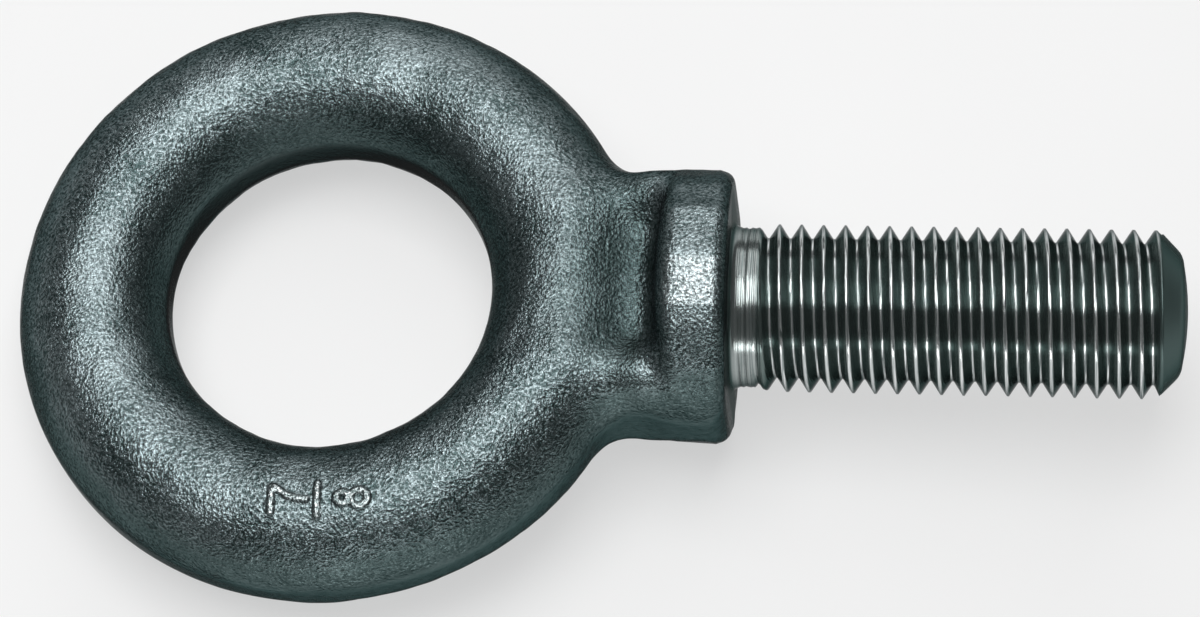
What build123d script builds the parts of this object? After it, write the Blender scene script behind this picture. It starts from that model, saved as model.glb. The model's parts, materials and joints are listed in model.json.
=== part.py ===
from build123d import *
import math
import os

os.makedirs("parts", exist_ok=True)

# Driving dimensions, in millimetres and degrees.

# Eye: a ring of round bar with a trimmed band round its hole and round its outer edge
eye_bore_diameter = 43.6
stock_diameter = 20.6
ring_band_width = 4.2

# Distance from the middle of the eye to the face of the shoulder
eye_to_seat = 54.0

# Neck: round at its sides, blended into the ring, thinnest where it meets the collar
neck_width = 35.0
neck_height = 15.2
neck_height_at_ring = 18.2
neck_blend_radius = 5.0
neck_band_width = 5.0
neck_straight_length = 0.9

# How far the neck's flanks reach into the ring's bar, and where the neck starts
flank_depth_in_ring = 5.15
neck_start_from_bar_middle = 2.575

# Collar: the round shoulder that bears on the work
collar_diameter = 36.2
collar_thickness = 7.4
collar_corner_radius = 2.0
collar_back_slope = 7.0
collar_root_radius = 2.6
root_bend_from_collar = 2.47

# Shank: a bar at the thread's outer diameter, seven eighths of an inch less a working allowance
shank_length = 59.4
thread_diameter = 22.18
plain_land_diameter = 21.2
plain_land_length = 2.2
shank_root_radius = 0.8
end_chamfer_length = 3.0
end_chamfer_depth = 3.1
end_corner_radius = 1.4
end_dome_height = 0.9

# Tolerance for telling edges and corners apart
near = 0.01

# Sizes that follow from the ones above
stock_radius = stock_diameter / 2
collar_radius = collar_diameter / 2
neck_radius = neck_width / 2
thread_radius = thread_diameter / 2
bore_radius = eye_bore_diameter / 2
band_offset = math.sqrt(stock_radius**2 - (ring_band_width / 2) ** 2)
ring_radius = bore_radius + band_offset
ring_outer_radius = ring_radius + band_offset
neck_start_radius = ring_radius - neck_start_from_bar_middle
land_radius = plain_land_diameter / 2
blend_centre_from_ring = ring_radius + stock_radius + neck_blend_radius
blend_centre_from_axis = neck_radius + neck_blend_radius
blend_end_from_eye = math.sqrt(blend_centre_from_ring**2 - blend_centre_from_axis**2)
waist_from_seat = eye_to_seat - blend_end_from_eye - neck_straight_length
end_radius = thread_radius - end_chamfer_depth
end_x = shank_length - end_dome_height
eye_centre = Vector(-eye_to_seat, 0, 0)


def rest_tilt():
    """Angle that brings the ring's end and the collar's rear corner onto one level floor."""
    along = ring_radius + eye_to_seat - collar_thickness + collar_corner_radius
    down = collar_radius - collar_corner_radius
    drop = math.atan2(down, along)
    spread = math.asin((stock_radius - collar_corner_radius) / math.hypot(along, down))
    return math.degrees(drop - spread)


def ring():
    """The bent bar of the eye, a full ring of round section."""
    section = Plane.XZ * Pos(ring_radius, 0) * Circle(stock_radius)
    return Pos(eye_centre) * revolve(section, axis=Axis.Z)


def flank_outline(inset):
    """Half outline of neck and collar seen from above, moved in towards the axis by inset."""
    waist = neck_radius - inset
    rim = collar_radius - inset
    corner = collar_corner_radius
    far_x = ring_radius - flank_depth_in_ring - eye_to_seat
    side = Polyline(
        (far_x, waist),
        (-waist_from_seat, waist),
        (-collar_thickness + corner, rim),
        (-corner, rim),
    )
    seat_corner = RadiusArc((-corner, rim), (0, rim - corner), corner)
    rest = Polyline((0, rim - corner), (0, 0), (far_x, 0), (far_x, waist))
    return make_face(Curve() + side + seat_corner + rest)


def neck_side_view():
    """Upper half of the neck from the side: a face that falls to the collar and curves up there."""
    root = collar_root_radius
    low = neck_height / 2
    high = low + root
    far_x = ring_radius - eye_to_seat
    far_z = neck_height_at_ring / 2
    bend_x = -collar_thickness - root_bend_from_collar
    middle = root * math.sqrt(0.5)
    face = Polyline((0, high), (0, 0), (far_x, 0), (far_x, far_z), (bend_x, low))
    bend = ThreePointArc(
        (bend_x, low),
        (bend_x + middle, high - middle),
        (bend_x + root, high),
    )
    return make_face(Curve() + face + bend + Line((bend_x + root, high), (0, high)))


def neck():
    """The neck: round flanks between its upper and lower faces, ending inside the ring's bar."""
    slab = extrude(Plane.XZ * neck_side_view(), amount=collar_diameter, both=True)
    slab += mirror(slab, about=Plane.XY)
    body = revolve(flank_outline(0), axis=Axis.X) & slab
    inner = Cylinder(neck_start_radius, stock_diameter * 2)
    return body - Pos(eye_centre) * inner


def ring_and_neck():
    """Ring and neck as one, with the neck blended into the ring all round."""
    body = ring() + neck()
    meeting = []
    for edge in body.edges():
        middle = edge.position_at(0.5)
        from_bar_middle = math.hypot(middle.X + eye_to_seat, middle.Y) - ring_radius
        off_bar = abs(math.hypot(from_bar_middle, middle.Z) - stock_radius)
        beside_neck = abs(middle.Y) < neck_radius and from_bar_middle > 0
        if off_bar < near and beside_neck and middle.X > ring_radius - eye_to_seat:
            meeting.append(edge)
    return fillet(meeting, neck_blend_radius)


def collar():
    """The round collar, thicker towards its middle, with rounded corners at rim and seat."""
    corner = collar_corner_radius
    lean = math.tan(math.radians(collar_back_slope)) * (collar_radius - corner)
    profile = Polyline(
        (0, 0),
        (-collar_thickness - lean, 0),
        (-collar_thickness, collar_radius),
        (0, collar_radius),
        (0, 0),
    )
    face = make_face(profile)
    rim = face.vertices().group_by(Axis.Y)[-1]
    return revolve(fillet(rim, corner), axis=Axis.X)


def trimmed_outline():
    """Everything inside the line where the flash was trimmed off, as a tall prism."""
    inset = neck_radius - math.sqrt(neck_radius**2 - (neck_band_width / 2) ** 2)
    flank = flank_outline(inset)
    plan = flank + mirror(flank, about=Plane.XZ)
    plan += Pos(eye_centre) * Circle(ring_outer_radius)
    meet_y = neck_radius - inset
    inner_corners = []
    for corner in plan.vertices():
        beside_ring = corner.X < -waist_from_seat - near
        if beside_ring and abs(abs(corner.Y) - meet_y) < near:
            inner_corners.append(corner)
    plan = fillet(inner_corners, neck_blend_radius)
    plan -= Pos(eye_centre) * Circle(bore_radius)
    return extrude(plan, amount=collar_diameter, both=True)


def head():
    """Ring, neck and collar as one forging, trimmed along the parting line."""
    return (ring_and_neck() + collar()) & trimmed_outline()


def shank():
    """Root radius, plain land, bar of the thread's outer diameter, chamfer and domed free end."""
    blend = shank_root_radius
    foot_x = -collar_corner_radius
    root_shift = blend * (1 - math.sqrt(0.5))
    root_curve = ThreePointArc(
        (0, land_radius + blend),
        (root_shift, land_radius + root_shift),
        (blend, land_radius),
    )
    side = Polyline(
        (blend, land_radius),
        (plain_land_length, land_radius),
        (plain_land_length + thread_radius - land_radius, thread_radius),
        (end_x - end_chamfer_length, thread_radius),
        (end_x, end_radius),
    )
    dome_radius = (end_radius**2 + end_dome_height**2) / (2 * end_dome_height)
    dome = RadiusArc((end_x, end_radius), (shank_length, 0), dome_radius)
    inside = Polyline(
        (shank_length, 0),
        (foot_x, 0),
        (foot_x, land_radius + blend),
        (0, land_radius + blend),
    )
    profile = make_face(Curve() + root_curve + side + dome + inside)
    corner = profile.vertices().filter_by(lambda v: abs(v.X - end_x) < near and v.Y > 0)
    return revolve(fillet(corner, end_corner_radius), axis=Axis.X)


def eye_bolt():
    """The whole bolt, laid on a level floor: on the ring's end and the collar's rear corner."""
    bolt = head() + shank()
    return Rot(0, -rest_tilt(), 0) * bolt


if __name__ == "__main__":
    export_step(eye_bolt(), "parts/eye_bolt.step")
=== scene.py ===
# %% [markdown]
# # A forged shoulder eye bolt
#
# A shoulder eye bolt is one piece of steel. A round bar is drop forged into a ring, a short neck and a
# round shoulder, the flash round its edge is trimmed off, and the shank is turned and threaded.
# This notebook dresses the plain solid of the bolt: it gives it the forged skin, the trimmed lands, the
# raised size figure, the thread and the steel. The solid itself is the fixed frame, so it is loaded first.

# %% Load the frame
import json
import math

import bmesh
import bpy
import numpy as np
from mathutils import Matrix, Vector


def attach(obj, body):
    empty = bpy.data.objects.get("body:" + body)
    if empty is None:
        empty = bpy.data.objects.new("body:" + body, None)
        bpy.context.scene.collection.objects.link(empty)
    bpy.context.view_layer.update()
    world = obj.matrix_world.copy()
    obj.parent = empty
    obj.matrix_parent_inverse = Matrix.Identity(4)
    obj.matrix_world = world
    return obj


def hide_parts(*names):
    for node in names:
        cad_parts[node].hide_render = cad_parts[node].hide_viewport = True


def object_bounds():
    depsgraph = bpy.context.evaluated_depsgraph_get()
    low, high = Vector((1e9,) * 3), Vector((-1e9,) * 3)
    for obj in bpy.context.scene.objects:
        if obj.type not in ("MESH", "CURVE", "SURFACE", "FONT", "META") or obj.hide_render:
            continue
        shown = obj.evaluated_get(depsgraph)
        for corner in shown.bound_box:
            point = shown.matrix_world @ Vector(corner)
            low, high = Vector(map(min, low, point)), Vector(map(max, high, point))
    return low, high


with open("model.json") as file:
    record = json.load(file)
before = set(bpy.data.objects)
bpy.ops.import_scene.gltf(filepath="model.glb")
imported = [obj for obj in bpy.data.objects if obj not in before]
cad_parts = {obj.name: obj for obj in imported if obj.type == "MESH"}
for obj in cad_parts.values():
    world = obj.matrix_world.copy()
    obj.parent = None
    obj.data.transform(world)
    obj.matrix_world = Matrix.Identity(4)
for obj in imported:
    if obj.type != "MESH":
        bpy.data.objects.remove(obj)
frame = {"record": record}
frame_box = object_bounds()
print("frame box in mm:", [[round(c * 1000, 2) for c in corner] for corner in frame_box])

# %% [markdown]
# ## The bolt's own axes
#
# The bolt is drawn in its own axes, in millimetres: the shank runs along +X from the face of the
# shoulder, and the ring lies in the XY plane. Lying on a floor, the bolt tips a little, because the
# shoulder is thicker than the ring. That angle could be typed in. The frame's record already gives it,
# as the axis of the shank, so it is read from there and the two always agree.

# %% Tip of the resting bolt
mounts = {mount["name"]: mount for mount in frame["record"]["mounts"]}
shank_axis = Vector(mounts["shoulder_seat"]["axis"]).normalized()
TIP = math.asin(shank_axis.z)
print("the bolt rests tipped by", round(math.degrees(TIP), 3), "degrees")


def to_floor(points):
    """Turns points in the bolt's own axes, in mm, to the frame's axes, in metres."""
    x, y, z = points.T
    turned = [x * math.cos(TIP) - z * math.sin(TIP), y, x * math.sin(TIP) + z * math.cos(TIP)]
    return np.stack(turned, 1) / 1000


# %% [markdown]
# ## Camera
#
# The picture looks down on the bolt from a little in front, with a long lens. The lens and the place
# could be guessed and nudged. Here they were found by laying the bolt's outline over the picture: the
# round hole shows as an oval, and how flat that oval is gives the height of the camera.

# %% Camera
ELEVATION, AZIMUTH, ROLL = 67.0, 2.5, 0.9
DISTANCE = 0.475
LOOK_AT = Vector((-0.018, 0.0, 0.0))
SLIDE_RIGHT, SLIDE_UP = 0.00026, -0.00118
FOCAL_LENGTH, SENSOR_WIDTH = 107.6, 36.0

el, az, roll = (math.radians(angle) for angle in (ELEVATION, AZIMUTH, ROLL))
forward = Vector((-math.sin(az) * math.cos(el), math.cos(az) * math.cos(el), -math.sin(el)))
level = Vector((math.cos(az), math.sin(az), 0.0))
upright = level.cross(forward)
right = math.cos(roll) * level + math.sin(roll) * upright
up = math.cos(roll) * upright - math.sin(roll) * level
camera_place = LOOK_AT + SLIDE_RIGHT * right + SLIDE_UP * up - DISTANCE * forward

lens = bpy.data.cameras.new("camera")
lens.sensor_width = SENSOR_WIDTH
lens.lens = FOCAL_LENGTH
lens.clip_start, lens.clip_end = 0.01, 20.0
camera = bpy.data.objects.new("camera", lens)
camera_turn = Matrix((right, up, -forward)).transposed()
camera.matrix_world = Matrix.Translation(camera_place) @ camera_turn.to_4x4()
bpy.context.scene.collection.objects.link(camera)
bpy.context.scene.camera = camera
print("camera at", [round(c, 3) for c in camera_place])

# %% [markdown]
# ## Shader sums
#
# A finish is a sum of simple things: a grain, a mask, a little dirt. Building such a sum one node at a
# time hides what it says. So one small class wraps the output of a node, and Python's own arithmetic
# on it adds the Math nodes. Every other node comes from one method, `add`.


# %% A socket with arithmetic
class Wire:
    """An output socket of a material. Arithmetic on it adds Math nodes."""

    def __init__(self, tree, socket=None):
        self.tree = tree
        self.socket = socket

    def add(self, kind, settings, sockets, out=0):
        """Adds a node: its settings first, then the values or links of its sockets."""
        node = self.tree.nodes.new(kind)
        for name, value in settings.items():
            setattr(node, name, value)
        for name, value in sockets.items():
            if isinstance(value, Wire):
                self.tree.links.new(value.socket, node.inputs[name])
            else:
                node.inputs[name].default_value = value
        return Wire(self.tree, node.outputs[out])

    def math(self, operation, *values):
        return self.add("ShaderNodeMath", {"operation": operation}, dict(enumerate(values)))

    def __add__(self, other):
        return self.math("ADD", self, other)

    __radd__ = __add__

    def __sub__(self, other):
        return self.math("SUBTRACT", self, other)

    def __rsub__(self, other):
        return self.math("SUBTRACT", other, self)

    def __mul__(self, other):
        return self.math("MULTIPLY", self, other)

    __rmul__ = __mul__

    def clamped(self):
        """Held between 0 and 1."""
        return self.math("MINIMUM", self.math("MAXIMUM", self, 0.0), 1.0)

    def step(self, low, high):
        """0 below low, 1 above high and smooth between."""
        settings = {"interpolation_type": "SMOOTHSTEP"}
        return self.add("ShaderNodeMapRange", settings, {0: self, 1: low, 2: high})

    def blend(self, low, high):
        """Between two colours, with this wire as the share of the second."""
        return self.add("ShaderNodeMix", {"data_type": "RGBA"}, {0: self, 6: low, 7: high}, out=2)

    def attribute(self, name):
        """The number that each point of the mesh keeps under that name."""
        return self.add("ShaderNodeAttribute", {"attribute_name": name}, {}, out="Fac")

    def light_path(self, kind):
        """1 for rays of the kind named, such as those that come straight from the camera."""
        return self.add("ShaderNodeLightPath", {}, {}, out=kind)

    def noise(self, where, size, detail=2.0, roughness=0.5):
        """Noise from 0 to 1 whose grains are about size wide, in the units of where."""
        sockets = {"Vector": where, "Scale": 1.0 / size, "Detail": detail, "Roughness": roughness}
        return self.add("ShaderNodeTexNoise", {}, sockets)


print("a wire knows:", ", ".join(name for name in vars(Wire) if not name.startswith("_")))


# %% A new material, first for the table
def new_material(name):
    """An empty material, its shader, and a Wire to build on."""
    material = bpy.data.materials.new(name)
    material.use_nodes = True
    tree = material.node_tree
    tree.nodes.clear()
    output = tree.nodes.new("ShaderNodeOutputMaterial")
    shader = tree.nodes.new("ShaderNodeBsdfPrincipled")
    tree.links.new(shader.outputs[0], output.inputs[0])
    return material, shader, Wire(tree)


def feed(shader, **sockets):
    """Sets the shader's sockets by name, with spaces written as underlines."""
    for name, value in sockets.items():
        socket = shader.inputs[name.replace("_", " ")]
        if isinstance(value, Wire):
            value.tree.links.new(value.socket, socket)
        else:
            socket.default_value = value


def millimetres(wire):
    """The piece's own coordinates, in millimetres."""
    place = wire.add("ShaderNodeTexCoord", {}, {}, out="Object")
    return wire.add("ShaderNodeVectorMath", {"operation": "SCALE"}, {0: place, "Scale": 1000.0})


pale_table, table_shader, table_wire = new_material("pale_table")
print("new material:", pale_table.name)

# %% [markdown]
# ## The table
#
# The bolt lies on a pale table, which the picture shows as nearly white. It could be made white with
# more light, but then the steel would be lit too strongly as well. So the table keeps the plain light
# and its shadow, and a share of plain white is mixed in only for the rays that look at it: those from
# the camera, and those that the steel mirrors. Its own colour has only the faintest unevenness.

# %% Floor
FLOOR_WIDTH = 12.0
UNEVENNESS_SIZE = 30.0
PALER_SHARE = 0.55
TABLE_COLOURS, TABLE_ROUGHNESS = ((0.88, 0.88, 0.88, 1), (0.92, 0.92, 0.92, 1)), 0.7

floor_height = frame_box[0].z
bpy.ops.mesh.primitive_plane_add(size=FLOOR_WIDTH, location=(0, 0, floor_height))
floor = bpy.context.active_object
floor.name = "floor"
speckle = table_wire.noise(millimetres(table_wire), UNEVENNESS_SIZE)
feed(table_shader, Base_Color=speckle.blend(*TABLE_COLOURS), Roughness=TABLE_ROUGHNESS)
seen = table_wire.light_path("Is Camera Ray") + table_wire.light_path("Is Glossy Ray")
seen = (seen + table_wire.light_path("Is Transmission Ray")).clamped()
white = table_wire.add("ShaderNodeEmission", {}, {"Color": (1, 1, 1, 1), "Strength": 1.0})
lit_table = Wire(table_wire.tree, table_shader.outputs[0])
paler = table_wire.add("ShaderNodeMixShader", {}, {0: seen * PALER_SHARE, 1: lit_table, 2: white})
table_wire.tree.links.new(paler.socket, pale_table.node_tree.nodes["Material Output"].inputs[0])
floor.data.materials.append(pale_table)
print("floor at", round(floor_height * 1000, 2), "mm")

# %% [markdown]
# ## Light
#
# A forged skin shows its shape through what it mirrors, so the place of the lamps matters more than
# the colour of the steel. Small hard lamps would give glints and no shape. Here a wide soft lamp
# overhead puts a bright band along the upper half of the ring, a lamp low in front lifts the lower
# half, and a large one behind gives the far edge its thin light line. Between the bands stays a dark
# gap, which is what makes the bar look round.

# %% Lamps and world
LAMPS = {  # place, point aimed at, width, height and power
    "overhead_softbox": ((-0.085, 0.015, 0.5), (-0.03, 0.0, 0.0), 0.36, 0.34, 1.85),
    "rear_softbox": ((-0.03, 0.62, 0.62), (-0.02, 0.0, 0.0), 0.8, 0.78, 2.6),
    "front_softbox": ((0.15, -1.0, 0.13), (-0.02, 0.0, 0.0), 0.8, 0.2, 2.7),
}
ROOM_COLOUR, ROOM_STRENGTH = (0.5, 0.52, 0.52, 1.0), 0.18


def soft_lamp(name, place, aim, width, height, power):
    """A rectangular lamp at place, turned to face aim."""
    lamp = bpy.data.lights.new(name, "AREA")
    lamp.shape = "RECTANGLE"
    lamp.size, lamp.size_y = width, height
    lamp.energy = power
    holder = bpy.data.objects.new(name, lamp)
    holder.location = place
    holder.rotation_euler = (Vector(aim) - Vector(place)).to_track_quat("-Z", "Y").to_euler()
    bpy.context.scene.collection.objects.link(holder)
    print(name, "shines with", power, "W")


for lamp_name, lamp_settings in LAMPS.items():
    soft_lamp(lamp_name, *lamp_settings)

room = bpy.data.worlds.new("room")
bpy.context.scene.world = room
room.use_nodes = True
background = room.node_tree.nodes["Background"]
background.inputs["Color"].default_value = ROOM_COLOUR
background.inputs["Strength"].default_value = ROOM_STRENGTH
bpy.context.scene.view_settings.view_transform = "Standard"

# %% [markdown]
# ## The forged head as one smooth skin
#
# A die leaves no sharp inner corners: the ring flows into the neck and the neck into the shoulder. With
# separate surfaces each blend is a repair. Here the head is described instead by one number at every
# point of space, the distance to its skin, negative inside. Two such distances join with a rounded
# minimum, which makes the fillet by itself, and cut each other with a rounded maximum. The result is a
# true distance only near the skin, which is the only place where it is used.
#
# Two kinds of rounded minimum are used. `joined` gives a true round fillet, as the trimming die has.
# `eased` gives a softer blend that fades out, as metal has where it flowed in a worn die.


# %% Distances that blend
def joined(a, b, radius):
    """Two solids as one, with a fillet of that radius where they meet."""
    near = np.hypot(np.maximum(radius - a, 0), np.maximum(radius - b, 0))
    return np.maximum(radius, np.minimum(a, b)) - near


def shared(a, b, radius):
    """What two solids share, with its edge rounded."""
    near = np.hypot(np.maximum(radius + a, 0), np.maximum(radius + b, 0))
    return np.minimum(-radius, np.maximum(a, b)) + near


def eased(a, b, width):
    """Two solids as one, eased over that width. It stays exact where one surface is far nearer."""
    return np.minimum(a, b) - np.maximum(width - np.abs(a - b), 0) ** 2 / (4 * width)


def ramp(value, low, high):
    """0 below low, 1 above high and smooth between."""
    share = np.clip((value - low) / (high - low), 0, 1)
    return share * share * (3 - 2 * share)


print("two skins 1 mm away, eased over 4 mm:", float(eased(1.0, 1.0, 4.0)), "mm away")

# %% Ring
BORE_RADIUS = 21.8
STOCK_RADIUS = 10.3
RING_BAND = 4.2
EYE_X = -54.0
BAND_OFFSET = math.sqrt(STOCK_RADIUS**2 - (RING_BAND / 2) ** 2)
RING_RADIUS = BORE_RADIUS + BAND_OFFSET
RING_OUTER = RING_RADIUS + BAND_OFFSET


def ring_distance(x, y, z):
    """The bar of the eye, bent to a full ring."""
    return np.hypot(np.hypot(x - EYE_X, y) - RING_RADIUS, z) - STOCK_RADIUS


print("ring:", round(2 * RING_OUTER, 2), "mm across, of bar", 2 * STOCK_RADIUS, "mm thick")

# %% [markdown]
# ## Neck
#
# The neck of the real bolt has round flanks, where the two dies meet, and an upper and a lower face
# that fall towards the shoulder and end in a hollow at its root. A block with a cylinder cut out would
# give that hollow hard edges. Here the height of the face is a formula instead: it falls with the
# square of the distance from the ring, less steeply off the middle, and rises again at the flanks.

# %% Neck
NECK_RADIUS = 17.5
NECK_EDGE_ROUND = 3.0
FACE_HEIGHT_AT_RING = 9.5
FACE_FALL, FACE_FALL_REACH = 0.0225, 13.5
FACE_RISE_INTO_RING = 0.5
FLATTER_OFF_MIDDLE, FLATTER_FROM_TO = 0.35, (5.0, 13.0)
RISE_AT_FLANKS, RISE_ACROSS, RISE_ALONG = 4.4, (6.5, 15.5), (-19.0, -9.0)
FLANK_FLARE, FLARE_ALONG = 0.6, (-17.0, -8.8)
NECK_START, NECK_END = -6.0, -2.0


def neck_distance(x, y, z):
    """Round flanks, and faces that fall ever steeper from the ring to the shoulder's root."""
    from_bar = x - EYE_X - RING_RADIUS
    off_middle = np.abs(y)
    fall = FACE_FALL * (1 - FLATTER_OFF_MIDDLE * ramp(off_middle, *FLATTER_FROM_TO))
    face = FACE_HEIGHT_AT_RING - fall * np.clip(from_bar, 0, FACE_FALL_REACH) ** 2
    face = face - FACE_RISE_INTO_RING * np.maximum(-from_bar, 0)
    face = face + RISE_AT_FLANKS * ramp(off_middle, *RISE_ACROSS) * ramp(x, *RISE_ALONG)
    flank = NECK_RADIUS + FLANK_FLARE * ramp(x, *FLARE_ALONG)
    body = shared(np.hypot(y, z) - flank, np.abs(z) - face, NECK_EDGE_ROUND)
    return np.maximum(np.maximum(body, NECK_START - from_bar), x - NECK_END)


half_height = -float(neck_distance(-12.0, 0.0, 0.0))
print("the neck near its root is", round(2 * half_height, 1), "mm high")

# %% [markdown]
# ## Shoulder
#
# The shoulder is a thick round collar that bears on the work. It is thicker towards its middle, so
# that it leaves the die, and its rim has a few flats where it was struck. The flats could be cut one by
# one. A flat is only a plane that the rim may not pass, so the larger of the two distances does it.

# %% Shoulder
COLLAR_RADIUS = 18.1
COLLAR_THICKNESS = 8.8
COLLAR_SLOPE = math.tan(math.radians(7.0))
SLOPE_EVENS_OUT = 0.99
SEAT_EDGE_ROUND, BACK_EDGE_ROUND = 2.0, 2.4
COLLAR_FLATS = [  # degrees round the rim, and depth
    (103, 0.22),
    (79, 0.3),
    (58, 0.2),
    (131, 0.18),
    (262, 0.25),
    (291, 0.2),
    (236, 0.2),
]


def collar_distance(x, y, z):
    """The round shoulder, a little thicker towards its middle, with a few flats where it was struck."""
    out = np.hypot(y, z)
    back = (-COLLAR_THICKNESS - (COLLAR_RADIUS - out) * COLLAR_SLOPE - x) * SLOPE_EVENS_OUT
    rim = out - COLLAR_RADIUS
    for degrees, depth in COLLAR_FLATS:
        a = math.radians(degrees)
        rim = np.maximum(rim, y * math.cos(a) + z * math.sin(a) - COLLAR_RADIUS + depth)
    return shared(shared(x, rim, SEAT_EDGE_ROUND), back, BACK_EDGE_ROUND)


print("shoulder:", 2 * COLLAR_RADIUS, "mm across, with", len(COLLAR_FLATS), "flats")

# %% [markdown]
# ## Trimming line
#
# Metal squeezed out between the dies leaves a thin fin of flash all round, and a trimming die shears
# it off, straight down. The narrow flat band that this leaves could be modelled as a strip of its own.
# It is simpler to do what the die does: one line seen from above, and all outside it is cut away.

# %% Trimming line
FLANK_BAND_HALF = 2.5
FLANK_TRIMMED = np.sqrt(NECK_RADIUS**2 - FLANK_BAND_HALF**2)
TRIM_FLARE_ALONG = (-11.6, -5.4)
TRIM_CORNER, TRIM_SEAT_ROUND = 3.4, 3.0


def trim_distance(x, y):
    """The line along which the flash was cut off, seen from above."""
    from_eye = np.hypot(x - EYE_X, y)
    flank = FLANK_TRIMMED + FLANK_FLARE * ramp(x, *TRIM_FLARE_ALONG)
    neck = np.maximum(np.abs(y) - flank, EYE_X + RING_RADIUS - x)
    outside = shared(joined(from_eye - RING_OUTER, neck, TRIM_CORNER), x, TRIM_SEAT_ROUND)
    return np.maximum(outside, BORE_RADIUS - from_eye)


print("the neck's flanks are trimmed", round(2 * float(FLANK_TRIMMED), 2), "mm apart")

# %% [markdown]
# ## The whole head
#
# Ring, neck and shoulder flow into each other. One width of blend all round would be the simple way.
# On the real bolt the blend at the ring widens towards the flanks, and the one at the shoulder narrows
# there, so each width is a ramp across the neck. The trimming line then cuts the whole. The skin is
# kept a hair inside the solid's, so that no rounding error can make the bolt grow.

# %% The whole head
RING_EASE, RING_EASE_MORE, MORE_FROM_TO = 2.0, 2.6, (4.0, 14.0)
COLLAR_EASE, COLLAR_EASE_LESS, LESS_FROM_TO = 5.4, 4.8, (10.0, 15.5)
TRIM_EDGE_ROUND = 0.25
SKIN_MARGIN = 0.02


def forging_distance(points):
    """The whole head before trimming."""
    x, y, z = points.T
    ring_ease = RING_EASE + RING_EASE_MORE * ramp(np.abs(y), *MORE_FROM_TO)
    body = eased(ring_distance(x, y, z), neck_distance(x, y, z), ring_ease)
    collar_ease = COLLAR_EASE - COLLAR_EASE_LESS * ramp(np.abs(y), *LESS_FROM_TO)
    return eased(body, collar_distance(x, y, z), collar_ease)


def head_distance(points):
    """The whole head, trimmed."""
    x, y, z = points.T
    return shared(forging_distance(points), trim_distance(x, y), TRIM_EDGE_ROUND) + SKIN_MARGIN


ring_crown = np.array([[EYE_X - RING_RADIUS, 0.0, STOCK_RADIUS]])
print("the skin lies", round(float(head_distance(ring_crown)[0]), 3), "mm inside the solid's")

# %% [markdown]
# ## From distances to a mesh
#
# A remesher turns distances into faces. Blender's own remesher needs a mesh to start from. The plainest
# good one for distances is called surface nets: space is cut into small cubes, each cube that the skin
# passes through gets one point, and each edge of a cube that the skin crosses gets one four-sided face.
# Afterwards every point slides along the slope of the distance until it lies on the skin itself, so the
# size of the cubes doesn't show.


# %% Surface nets
def crossed_edges(grid, value, cells, axis, step):
    """Where the skin crosses the cubes' edges along one axis, and the four cubes round each edge."""
    first = [slice(None)] * 3
    second = [slice(None)] * 3
    first[axis], second[axis] = slice(None, -1), slice(1, None)
    a, b = value[tuple(first)], value[tuple(second)]
    at = np.argwhere((a < 0) != (b < 0))
    one, two = (axis + 1) % 3, (axis + 2) % 3
    inner = (at[:, one] > 0) & (at[:, two] > 0)
    inner &= (at[:, one] < cells[one]) & (at[:, two] < cells[two])
    at = at[inner]
    va, vb = a[tuple(at.T)], b[tuple(at.T)]
    crossing = grid[tuple(at.T)].copy()
    crossing[:, axis] += step * va / (va - vb)
    around = []
    for shift_one, shift_two in ((1, 1), (0, 1), (0, 0), (1, 0)):
        cell = at.copy()
        cell[:, one] -= shift_one
        cell[:, two] -= shift_two
        around.append(cell)
    return crossing, around, va > 0


def surface_nets(distance, low, high, step):
    """Points and four-sided faces of the skin where distance is zero."""
    axes = [np.arange(a, b + step, step) for a, b in zip(low, high)]
    grid = np.stack(np.meshgrid(*axes, indexing="ij"), -1)
    value = distance(grid.reshape(-1, 3)).reshape(grid.shape[:3])
    cells = np.array(value.shape) - 1
    total, count = np.zeros((*cells, 3)), np.zeros(cells)
    corners = []
    for axis in range(3):
        crossing, around, facing_back = crossed_edges(grid, value, cells, axis, step)
        for cell in around:
            np.add.at(total, tuple(cell.T), crossing)
            np.add.at(count, tuple(cell.T), 1)
        quads = np.stack([np.ravel_multi_index(tuple(cell.T), cells) for cell in around], 1)
        quads[facing_back] = quads[facing_back][:, ::-1]
        corners.append(quads)
    used = np.flatnonzero(count.ravel() > 0)
    points = total.reshape(-1, 3)[used] / count.ravel()[used][:, None]
    number = np.full(count.size, -1)
    number[used] = np.arange(len(used))
    return points, number[np.concatenate(corners)]


# %% Slide the points onto the skin
def slope(distance, points, reach=0.02):
    """Direction in which the distance grows fastest at each point."""
    grown = []
    for axis in np.eye(3) * reach:
        grown.append(distance(points + axis) - distance(points - axis))
    return np.stack(grown, 1) / (2 * reach)


def slid_onto(distance, points, rounds=3, least_slope=0.2):
    """Moves each point along the slope until it lies on the skin."""
    for _ in range(rounds):
        down = slope(distance, points)
        steepness = np.maximum((down**2).sum(1), least_slope)[:, None]
        points = points - distance(points)[:, None] * down / steepness
    return points


CUBE = 0.55
AROUND = 1.5
lowest = (EYE_X - RING_OUTER - AROUND, -RING_OUTER - AROUND, -COLLAR_RADIUS - AROUND)
highest = (AROUND, RING_OUTER + AROUND, COLLAR_RADIUS + AROUND)
head_points, head_faces = surface_nets(head_distance, lowest, highest, CUBE)
head_points = slid_onto(head_distance, head_points)
print("head:", len(head_points), "points,", len(head_faces), "faces")

# %% [markdown]
# ## Hand of the forge
#
# A real forging is never quite even: scale in the die leaves shallow hollows, and blasting pits the
# skin. The hollows are real shape, so they move the points of the mesh. A displacement texture could do
# it. A sum of plane waves in fixed random directions needs no texture, is smooth everywhere and is the
# same on every run. The waves are shifted so that they nearly always go inwards, and the bolt keeps its
# size. The trimmed edges stay as the trimming die cut them, and the seat stays flat.


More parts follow.
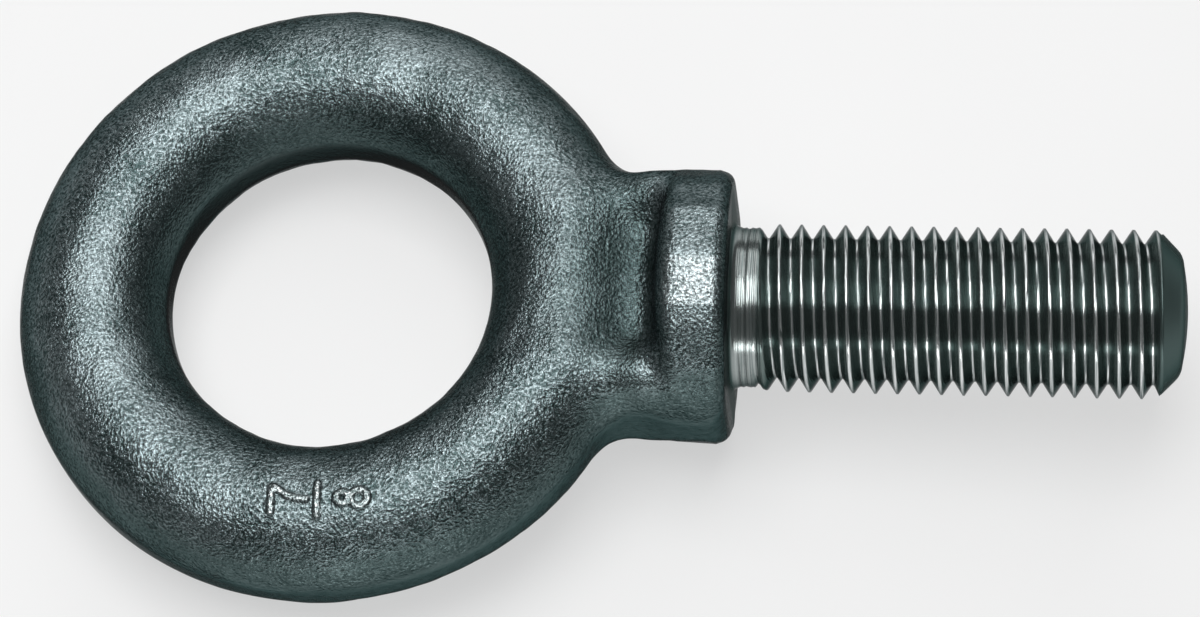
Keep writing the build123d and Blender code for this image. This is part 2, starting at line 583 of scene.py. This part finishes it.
# %% Waves
def waves(points, size, seed, count=16):
    """An even mixture of waves about size long, mostly between -1 and 1."""
    dice = np.random.default_rng(seed)
    total = np.zeros(len(points))
    for _ in range(count):
        direction = dice.normal(size=3)
        direction /= np.linalg.norm(direction)
        length = size * dice.uniform(0.7, 1.4)
        total += np.cos(points @ direction * (2 * math.pi / length) + dice.uniform(0, 2 * math.pi))
    return total / math.sqrt(count)


print("highest wave on the head:", round(float(waves(head_points, 15.0, 1).max()), 2))

# %% What was trimmed or turned
TRIM_FADE = (-0.25, 0.1)
SEAT_FADE, SEAT_RADIUS_FADE = (-0.12, -0.02), (-17.0, -15.8)


def trimmed_share(points):
    """1 on the band that the trimming die left, 0 on the forged skin."""
    x, y, z = points.T
    return ramp(trim_distance(x, y) - forging_distance(points), *TRIM_FADE)


def seat_share(points):
    """1 on the turned face of the shoulder, 0 elsewhere."""
    x, y, z = points.T
    return ramp(x, *SEAT_FADE) * ramp(-np.hypot(y, z), *SEAT_RADIUS_FADE)


band_share = float(trimmed_share(head_points).mean())
print("share of the head's points that were trimmed:", round(band_share, 3))

# %% [markdown]
# ## The size figure
#
# The ring carries its size, seven over eight, as raised figures that the die forms. A text object laid
# on the ring would have upright walls and printed letter forms. Here each figure is a few strokes, as
# an engraver cut them in the die, so their height over the skin is a matter of the distance to the
# nearest stroke. They need finer faces than the rest of the ring, so only the faces under them are
# divided again.

# %% Strokes of the figures
SEVEN_TOP = [(-57.4, -30.5), (-57.3, -33.9)]
SEVEN_LEG = [(-57.2, -30.5), (-56.4, -31.0), (-55.3, -31.7), (-54.1, -32.0), (-52.8, -32.1)]
BETWEEN = [(-51.5, -29.9), (-51.3, -34.3)]
EIGHT_LOOPS = [((-48.15, -31.8), 0.78), ((-46.0, -31.7), 1.08)]
FIGURE_HEIGHT = 0.42
STROKE_TOP_TO_FOOT = (0.24, 0.62)
FIGURE_EVEN, FIGURE_UNEVEN, UNEVEN_SIZE = 0.86, 0.14, 3.0
FIGURES_FROM_TO_X, FIGURES_FROM_TO_Y, FIGURES_ABOVE = (-58.6, -43.9), (-35.2, -29.0), 5


def stroke_distance(x, y, corners):
    """Distance to a stroke made of straight parts."""
    best = np.full(len(x), 1e9)
    for (ax, ay), (bx, by) in zip(corners, corners[1:]):
        dx, dy = bx - ax, by - ay
        share = np.clip(((x - ax) * dx + (y - ay) * dy) / (dx * dx + dy * dy), 0, 1)
        best = np.minimum(best, np.hypot(x - ax - share * dx, y - ay - share * dy))
    return best


def figure_height(points):
    """How far the raised figures stand over the skin at each point."""
    x, y, z = points.T
    away = np.minimum(stroke_distance(x, y, SEVEN_TOP), stroke_distance(x, y, SEVEN_LEG))
    away = np.minimum(away, stroke_distance(x, y, BETWEEN))
    for (cx, cy), radius in EIGHT_LOOPS:
        away = np.minimum(away, np.abs(np.hypot(x - cx, y - cy) - radius))
    uneven = FIGURE_EVEN + FIGURE_UNEVEN * waves(points, UNEVEN_SIZE, 5)
    return FIGURE_HEIGHT * uneven * (1 - ramp(away, *STROKE_TOP_TO_FOOT)) * (z > FIGURES_ABOVE)


print("the figures stand up to", round(float(figure_height(head_points).max()), 2), "mm high")


# %% Divide the faces under the figures
def new_object(name, points, faces):
    """An object from a list of faces and points in the bolt's own axes, in millimetres."""
    mesh = bpy.data.meshes.new(name)
    mesh.from_pydata(points.tolist(), [], faces)
    made = bpy.data.objects.new(name, mesh)
    bpy.context.scene.collection.objects.link(made)
    return made


def points_of(made):
    """The points of an object's mesh, in its own units."""
    numbers = np.zeros(len(made.data.vertices) * 3, np.float32)
    made.data.vertices.foreach_get("co", numbers)
    return numbers.reshape(-1, 3).astype(float)


def under_figures(middle):
    """True for a place under the figures."""
    (x_low, x_high), (y_low, y_high) = FIGURES_FROM_TO_X, FIGURES_FROM_TO_Y
    return x_low < middle.x < x_high and y_low < middle.y < y_high and middle.z > FIGURES_ABOVE


head = new_object("eye_bolt", head_points, head_faces.tolist())
fine = bmesh.new()
fine.from_mesh(head.data)
under = [face for face in fine.faces if under_figures(face.calc_center_median())]
edges = list({edge for face in under for edge in face.edges})
bmesh.ops.subdivide_edges(fine, edges=edges, cuts=2, use_grid_fill=True)
fine.to_mesh(head.data)
fine.free()
print("faces under the figures:", len(under), "now", len(head.data.polygons), "in all")

# %% Shape the skin
HOLLOWS = [(0.10, 15.0, 1), (0.035, 4.5, 2), (0.016, 1.9, 3)]  # depth, size and seed
HOLLOWS_FADE = (0.0, 3.0)

head_points = slid_onto(head_distance, points_of(head), rounds=2)
outward = slope(head_distance, head_points)
outward /= np.linalg.norm(outward, axis=1)[:, None]
forged = (1 - trimmed_share(head_points)) * (1 - seat_share(head_points))
hollows = sum(depth * (1 + waves(head_points, size, seed)) for depth, size, seed in HOLLOWS)
hollows *= ramp(-head_points[:, 0], *HOLLOWS_FADE)
moved = figure_height(head_points) - forged * hollows
head_points = head_points + outward * moved[:, None]
print("hollows:", round(float(hollows.mean()), 3), "mm deep on average, at most", round(hollows.max(), 3))
print("skin moved by", round(moved.min(), 3), "to", round(moved.max(), 3), "mm")

# %% [markdown]
# ## The thread
#
# A thread could be a tube wound along a helix and joined to a bar, but that leaves thousands of thin
# slivers where the two meet. Here the whole shank is one sheet of faces instead. Its rows run along the
# helix, so a row lies exactly on each crest and in each root, and its columns run along the bar. The
# rows that would start before the thread or end after it are held at its ends and merge there.
#
# The coarse thread for a bar of seven eighths of an inch has nine turns to the inch. The spacing used
# here is measured on the picture, where eighteen crests fill the shank. The land beside the shoulder
# keeps the fine lines of the lathe and one deeper groove.

# %% Sizes of the thread
THREAD_RADIUS = 11.09
PITCH = 2.892
DEPTH = 1.85
CREST_HALF, ROOT_FROM_CREST = 0.04, 0.455
FIRST_CREST, LAST_CREST = -0.06, 55.0
LAND_RADIUS = 10.6
RUN_OUT_DEEPER, RUN_OUT_ALONG, LAND_ENDS_ALONG = 1.3, (2.9, 4.6), (3.4, 5.2)
THREAD_FADES_ALONG = (LAST_CREST + 0.3, LAST_CREST + 1.6)
LATHE_LINE_DEPTH, LATHE_LINE_SPACING, LATHE_LINES_END = 0.05, 0.8, 3.2
GROOVE_DEPTH, GROOVE_X, GROOVE_WIDTH = 0.12, 1.9, 0.25
CHAMFER_START, CHAMFER_SLOPE = 55.5, 3.1 / 3.0


def thread_radius(x, turn_share):
    """Radius of the shank at x, at that share of a turn round it."""
    phase = ((x - FIRST_CREST) / PITCH - turn_share) % 1.0
    off_crest = np.minimum(phase, 1 - phase)
    depth = DEPTH * (1 - ramp(x, *THREAD_FADES_ALONG))
    flank = np.clip((off_crest - CREST_HALF) / (ROOT_FROM_CREST - CREST_HALF), 0, 1)
    cut = THREAD_RADIUS - depth * flank
    run_out = LAND_RADIUS - RUN_OUT_DEEPER * DEPTH * ramp(x, *RUN_OUT_ALONG)
    lines = LATHE_LINE_DEPTH * (1 - np.cos(2 * math.pi * x / LATHE_LINE_SPACING)) * (x < LATHE_LINES_END)
    lines += GROOVE_DEPTH * np.exp(-(((x - GROOVE_X) / GROOVE_WIDTH) ** 2))
    land = LAND_RADIUS + (THREAD_RADIUS - LAND_RADIUS) * ramp(x, *LAND_ENDS_ALONG) - lines
    chamfer = THREAD_RADIUS - CHAMFER_SLOPE * np.maximum(x - CHAMFER_START, 0)
    return np.minimum(np.minimum(np.maximum(cut, run_out), land), chamfer)


print("thread:", PITCH, "mm from crest to crest,", DEPTH, "mm deep")

# %% Foot and free end
SHANK_LENGTH = 59.38
FOOT_RADIUS, FOOT_SUNK = 1.2, 0.05
HIDDEN_START, HIDDEN_ROOM = -1.0, 0.8
FOOT_DEGREES = (10, 25, 40, 55, 70)
END_CORNER = [(58.25, 8.2), (58.47, 7.82), (58.64, 7.35)]
DOME_RADIUS = 35.9
DOME_RINGS = (6.7, 5.7, 4.6, 3.4, 2.2, 1.0)


def plain_rings():
    """(x, radius) of the rings before the thread and after it."""
    foot = [(HIDDEN_START, LAND_RADIUS + HIDDEN_ROOM)]
    for degrees in FOOT_DEGREES:
        b = math.radians(degrees)
        x = FOOT_RADIUS * (1 - math.cos(b)) - FOOT_SUNK
        foot.append((x, LAND_RADIUS + FOOT_RADIUS * (1 - math.sin(b))))
    end = list(END_CORNER)
    for radius in DOME_RINGS:
        end.append((SHANK_LENGTH - DOME_RADIUS + math.sqrt(DOME_RADIUS**2 - radius**2), radius))
    return foot, end


print("plain rings at the foot and at the end:", [len(rings) for rings in plain_rings()])

# %% The shank as one sheet
COLUMNS = 80
THREAD_START, THREAD_STOP = FOOT_RADIUS - FOOT_SUNK, 57.9
ROW_SHARES = [0.0, 0.04, 0.10, 0.22, 0.33, 0.42, 0.465, 0.5, 0.535, 0.58, 0.67, 0.78, 0.90, 0.96]


def shank_sheet():
    """x and radius of every point of the shank's side, with a row for each ring or part of a turn."""
    column = np.arange(COLUMNS + 1) / COLUMNS
    first_turn = math.floor((THREAD_START - FIRST_CREST) / PITCH) - 1
    last_turn = math.ceil((THREAD_STOP - FIRST_CREST) / PITCH) + 1
    shares = np.array([n + share for n in range(first_turn, last_turn) for share in ROW_SHARES])
    x = FIRST_CREST + (shares[:, None] + column[None, :]) * PITCH
    x = np.clip(x, THREAD_START, THREAD_STOP)
    radius = thread_radius(x, column[None, :])
    foot, end = (np.array(rings)[:, :, None] * np.ones(COLUMNS + 1) for rings in plain_rings())
    x = np.concatenate([foot[:, 0], x, end[:, 0]])
    radius = np.concatenate([foot[:, 1], radius, end[:, 1]])
    return x, radius, 2 * math.pi * column


def shank_mesh():
    """Points and faces of the closed shank in the bolt's own axes."""
    x, radius, angle = shank_sheet()
    points = np.stack([x, radius * np.cos(angle), radius * np.sin(angle)], -1)
    hubs = [(HIDDEN_START, 0, 0), (SHANK_LENGTH, 0, 0)]
    points = np.concatenate([points.reshape(-1, 3), hubs])
    number = np.arange(x.size).reshape(x.shape)
    sheet = [number[:-1, :-1], number[:-1, 1:], number[1:, 1:], number[1:, :-1]]
    faces = np.stack([part.ravel() for part in sheet], 1)
    foot_hub, end_hub = x.size, x.size + 1
    fans = []
    for j in range(COLUMNS):
        fans.append((foot_hub, number[0, j + 1], number[0, j], number[0, j]))
        fans.append((end_hub, number[-1, j], number[-1, j + 1], number[-1, j + 1]))
    return points, np.concatenate([faces, fans])


def merged(points, faces):
    """Joins points that coincide and drops the faces that this flattens."""
    keys = np.round(points, 4) + 0.0
    unique, number = np.unique(keys, axis=0, return_inverse=True)
    kept = []
    for face in number.reshape(-1)[faces].tolist():
        corners = [a for a, b in zip(face, face[1:] + face[:1]) if a != b]
        if len(corners) > 2 and len(set(corners)) == len(corners):
            kept.append(corners)
    return unique, kept


shank_points, shank_faces = merged(*shank_mesh())
print("shank:", len(shank_points), "points,", len(shank_faces), "faces")

# %% [markdown]
# ## Wear of the crests
#
# Threads knock against other bolts in the bin, so the crests carry small flats and nicks. A bump in the
# material would leave the outline of the thread too perfect. So the nicks are shallow dents in the
# crest line itself, cut only where the shank is near its full radius.

# %% Nick the crests
CREST_FADE = (THREAD_RADIUS - 0.25, THREAD_RADIUS - 0.02)
FLAT_DEPTH, FLAT_SIZE = 0.02, 6.0
NICK_DEPTH, NICK_SIZE, NICK_FROM_WAVE_TO = 0.22, 2.2, (1.35, 2.4)

from_axis = np.hypot(shank_points[:, 1], shank_points[:, 2])
on_crest = ramp(from_axis, *CREST_FADE)
flats = FLAT_DEPTH * (1 + waves(shank_points, FLAT_SIZE, 7))
nicks = on_crest * (flats + NICK_DEPTH * ramp(waves(shank_points, NICK_SIZE, 8), *NICK_FROM_WAVE_TO))
shank_points[:, 1:] *= (1 - nicks / np.maximum(from_axis, 1))[:, None]
print("deepest nick", round(float(nicks.max()), 3), "mm")

# %% [markdown]
# ## One closed piece
#
# Head and shank could be left as two meshes that overlap. The bolt is one piece of steel, so they are
# joined by a boolean to one closed mesh.

# %% Join head and shank
head.data.vertices.foreach_set("co", head_points.astype(np.float32).ravel())
head.data.update()
shank = new_object("shank", shank_points, shank_faces)
join = head.modifiers.new("join", "BOOLEAN")
join.operation = "UNION"
join.solver = "MANIFOLD"
join.object = shank
with bpy.context.temp_override(object=head, active_object=head, selected_objects=[head]):
    bpy.ops.object.modifier_apply(modifier="join")
bpy.data.objects.remove(shank)

check = bmesh.new()
check.from_mesh(head.data)
open_edges = sum(1 for edge in check.edges if not edge.is_manifold)
triangles = sum(len(face.verts) - 2 for face in check.faces)
print("bolt:", triangles, "triangles,", open_edges, "open edges, volume", round(check.calc_volume(), 1))
check.free()

# %% [markdown]
# ## Marks for the material
#
# The steel looks different where it was forged, trimmed, turned or worn, and some light and shade is
# painted into its colour. Separate materials would meet in hard lines along the faces. So each point
# keeps a few numbers, its marks, and one material reads them and blends. First come the marks of the
# machines and of painted light: the trimmed band, the bore's part of it, which gets painted shade, the
# seat, all that was turned, the dull free end, the painted highlight lines along crests and roots, and
# the place across the lathe's cuts. All but that last one run from 0 to 1.


# %% Marks of the machines, with painted shade and highlight
def keep_mark(name, values):
    """Stores one number for each point, for the material to read."""
    mark = head.data.attributes.new(name, "FLOAT", "POINT")
    mark.data.foreach_set("value", values.astype(np.float32))
    print("mark", name, "from", round(float(values.min()), 2), "to", round(float(values.max()), 2))


# The line mark paints highlight lines along the thread's crests and roots, and a weaker painted highlight
# on the land before the thread.
CREST_RADII, ROOT_RADII = (10.9, 11.04), (-9.36, -9.26)
BRIGHT_FROM, BRIGHT_TO, LAND_HIGHLIGHT = 3.6, LAST_CREST + 0.8, 0.3
BORE_SHADE_FADE = (-BORE_RADIUS - 2.0, -BORE_RADIUS - 1.0)
TURNED_FADE, SHANK_WITHIN = (-0.05, 0.05), 13
HEAD_ENDS, SEAT_ENDS = -0.5, 0.3
END_FADE = (LAST_CREST + 0.1, LAST_CREST + 0.5)

bolt_points = points_of(head)
x, y, z = bolt_points.T
out = np.hypot(y, z)
keep_mark("trimmed", trimmed_share(bolt_points) * (x < HEAD_ENDS))
# Painted shade on the trimmed band inside the bore.
keep_mark("bore", ramp(-np.hypot(x - EYE_X, y), *BORE_SHADE_FADE))
keep_mark("seat", seat_share(bolt_points) * (x < SEAT_ENDS))
on_shank = ramp(x, *TURNED_FADE) * (out < SHANK_WITHIN)
keep_mark("turned", np.maximum(seat_share(bolt_points), on_shank))
keep_mark("end", ramp(x, *END_FADE))
# Painted highlight along crests and roots.
crests_and_roots = np.maximum(ramp(out, *CREST_RADII), ramp(-out, *ROOT_RADII))
on_thread = (x > BRIGHT_FROM) & (x < BRIGHT_TO)
keep_mark("line", np.where(on_thread, crests_and_roots, LAND_HIGHLIGHT * (x <= BRIGHT_FROM)))
keep_mark("lathe", x + out)

# %% [markdown]
# Then come the marks of painted light, and the wear of the raised figures. The forged skin is painted
# lighter where it faces up or down and darker on its sides, so the first mark follows the upright part
# of each point's normal: a painted sheen on top, painted shade on the sides. Painted shade darkens the
# hollow before the shoulder, and a painted sheen lightens the wall of the shoulder over it. The raised
# figures are worn bare and also carry a painted highlight, and the top of the rim, most of all one
# struck flat, gets a painted highlight. All this could be painted by hand, but worked out from the shape
# it follows the bolt from every side.

# %% Marks of painted light and wear
# Painted sheen on faces that point up or down, painted shade on the sides, painted highlight on the rim.
UPRIGHT_FROM_TO = (0.52, 0.99)
ROOT_SHADE_DEPTH, WALL_SHEEN = 0.9, 0.8
RIM_HIGHLIGHT, STRUCK_HIGHLIGHT = 0.06, 0.34
RIM_WITHOUT, RIM_BACK_FADE, RIM_SEAT_FADE = 16.5, (-8.7, -8.2), (1.0, 1.6)
STRUCK_START, STRUCK_STOP = (90.5, 93.5), (-114.0, -111.0)
# A patch fades in along x, out towards the shoulder and out towards the flanks.
# The first patch paints shade on the neck before the shoulder, the second a painted sheen on the
# shoulder's wall, the third a darker painted shade in the hollow.
NEAR_ROOT = (-31.0, -14.0), (8.5, 9.1), (-18.5, -14.5)
ROOT_WALL = (-12.2, -10.6), (8.0, 9.0), (-17.0, -13.0)
ROOT_SHADE_PATCH = (-24.0, -14.0), (10.8, 13.5), (-16.0, -5.0)
ROOT_BEND = 0.04


def patch(start, stop, sides, bend=0.0):
    """1 on a patch of the neck before the shoulder, 0 elsewhere. Its start can bend back with y."""
    return ramp(x - bend * y * y, *start) * ramp(-x, *stop) * ramp(-np.abs(y), *sides)


normals = np.zeros(len(bolt_points) * 3, np.float32)
head.data.vertices.foreach_get("normal", normals)
facing_up = ramp(np.abs(normals.reshape(-1, 3)[:, 2]), *UPRIGHT_FROM_TO)
# Painted sheen where the skin faces up or down and on the shoulder's wall; painted shade elsewhere and
# before the shoulder.
rubbed_neck = facing_up * (1 - ROOT_SHADE_DEPTH * patch(*NEAR_ROOT, bend=ROOT_BEND))
keep_mark("worn", np.maximum(rubbed_neck, WALL_SHEEN * patch(*ROOT_WALL)))
# Painted shade in the hollow before the shoulder.
keep_mark("scale", patch(*ROOT_SHADE_PATCH))

round_rim = np.degrees(np.arctan2(z, y))
struck_flat = ramp(round_rim, *STRUCK_START) * ramp(-round_rim, *STRUCK_STOP)
on_rim = facing_up * ramp(x, *RIM_BACK_FADE) * ramp(-x, *RIM_SEAT_FADE) * (out > RIM_WITHOUT)
# Painted highlight on the top of the rim, strongest on one struck flat.
rubbed_rim = on_rim * (RIM_HIGHLIGHT + STRUCK_HIGHLIGHT * struck_flat)
# The same mark paints the raised figures bright: they are worn bare, and they carry a painted highlight.
keep_mark("rubbed", rubbed_rim + figure_height(bolt_points) / FIGURE_HEIGHT)

# %% [markdown]
# ## Forged and turned steel
#
# One bolt shows three finishes of one steel. The forged skin is blasted: dark, slightly blue-green,
# and covered in fine pits that sparkle. The band along the trimming line is smoother. The shank is
# turned and threaded, so it is brighter and mirrors in streaks along the lathe's cut. Three materials
# would be simpler to read, but the finishes blend into each other, so one material holds all three,
# and the marks on the points say where each one shows and where light and shade are painted into it.

# %% Grain and marks
PIT_SIZE, COARSE_SIZE, PATCH_SIZE = 0.4, 0.9, 9.0
CUTS_PER_MM = 5.0

steel, steel_shader, wire = new_material("forged_steel")
where = millimetres(wire)
pits = wire.noise(where, PIT_SIZE, 2.0, 0.6)
coarse = wire.noise(where, COARSE_SIZE, 2.0, 0.5)
patches = wire.noise(where, PATCH_SIZE, 3.0, 0.55)
along_cut = {"W": wire.attribute("lathe"), "Scale": CUTS_PER_MM, "Detail": 3.0}
cuts = wire.add("ShaderNodeTexNoise", {"noise_dimensions": "1D"}, along_cut)
turned = wire.attribute("turned").clamped()
trimmed = wire.attribute("trimmed").clamped()
# Painted sheen and shade of the forged skin.
worn = wire.attribute("worn").clamped()
line = wire.attribute("line").clamped()
dull = (wire.attribute("seat") + wire.attribute("end").clamped()).clamped()
print("grain and marks:", len(wire.tree.nodes), "nodes so far")

# %% Colour of the forged skin
# Painted shade: the colour of the skin's sides.
SIDE_SHADE = (0.045, 0.068, 0.068, 1), (0.10, 0.138, 0.138, 1)
# Painted sheen: the colour of the skin's upright faces.
CROWN_SHEEN = (0.047, 0.073, 0.073, 1), (0.30, 0.36, 0.374, 1)
# Painted highlight on the rim, and on the raised figures, which are also worn bare.
HIGHLIGHT_AND_WEAR = (0.16, 0.20, 0.20, 1), (0.80, 0.86, 0.87, 1)
TRIMMED = (0.085, 0.12, 0.12, 1), (0.14, 0.185, 0.185, 1)
# Painted shade inside the bore.
BORE_SHADE = (0.04, 0.052, 0.052, 1)
# Painted shade: the dark colour of the hollow before the shoulder.
SCALE = (0.028, 0.042, 0.042, 1)
HIGHLIGHT_SHARE, ROOT_SHADE_SHARE = 0.9, 0.35

shade = (0.3 * patches + 0.7 * pits).step(0.36, 0.64)
# The upright faces: painted sheen, with painted highlight on the rim and the figures.
crown_sheen = (wire.attribute("rubbed") * HIGHLIGHT_SHARE).blend(shade.blend(*CROWN_SHEEN), shade.blend(*HIGHLIGHT_AND_WEAR))
# The trimmed band, with painted shade inside the bore.
band = wire.attribute("bore").blend(coarse.blend(*TRIMMED), BORE_SHADE)
# Painted shade on the sides and painted sheen on the upright faces, then the trimmed band.
forged_colour = trimmed.blend(worn.blend(shade.blend(*SIDE_SHADE), crown_sheen), band)
# Painted shade in the hollow before the shoulder.
forged_colour = (wire.attribute("scale") * ROOT_SHADE_SHARE).blend(forged_colour, SCALE)
print("forged skin:", len(wire.tree.nodes), "nodes so far")

# %% Colour of the turned steel
FLANK = (0.12, 0.16, 0.155, 1), (0.20, 0.24, 0.23, 1)
# Painted highlight along crests and roots, streaked along the lathe's cuts.
LINE_HIGHLIGHT = (0.36, 0.40, 0.40, 1), (0.95, 0.97, 0.97, 1)
DULL = (0.10, 0.14, 0.135, 1)

# The painted highlight lines of the thread.
highlight_cuts = cuts.step(0.3, 0.7).blend(*LINE_HIGHLIGHT)
turned_colour = dull.blend(line.blend(coarse.blend(*FLANK), highlight_cuts), DULL)
print("turned steel:", len(wire.tree.nodes), "nodes so far")

# %% Steel
METALLIC = 0.92
EDGE_TINT = (0.15, 0.17, 0.17, 1)
BUMP_HEIGHT = 0.0002
SMOOTHER_TRIM, CUT_HEIGHT = 0.75, 0.35
ROUGHNESS, TURNED_ROUGHER, PATCH_ROUGHER, DULL_ROUGHER = 0.23, -0.05, 0.08, 0.2

rough_skin = (1 - turned) * (1 - SMOOTHER_TRIM * trimmed)
height = rough_skin * (pits + 0.6 * coarse) + turned * cuts * CUT_HEIGHT
roughness = turned * TURNED_ROUGHER + ROUGHNESS + PATCH_ROUGHER * (patches - 0.5)
bump = {"Strength": 1.0, "Distance": BUMP_HEIGHT, "Height": height}
feed(
    steel_shader,
    Base_Color=turned.blend(forged_colour, turned_colour),
    Metallic=METALLIC,
    Specular_Tint=EDGE_TINT,
    Roughness=roughness + DULL_ROUGHER * dull,
    Normal=wire.add("ShaderNodeBump", {}, bump),
)
head.data.materials.clear()
head.data.materials.append(steel)
print("steel:", len(wire.tree.nodes), "nodes in all")

# %% [markdown]
# ## Back onto the frame
#
# The bolt was made in its own axes and in millimetres. It could be turned by its object's transform,
# but the frame's own parts keep their place in the mesh, so the points themselves are turned to lie as
# the frame lies. The piece then rides on the frame and stands for the plain solid.

# %% Ride on the frame
head.data.vertices.foreach_set("co", to_floor(bolt_points).astype(np.float32).ravel())
head.data.update()
for polygon in head.data.polygons:
    polygon.use_smooth = True
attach(head, "root")
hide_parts("eye_bolt")
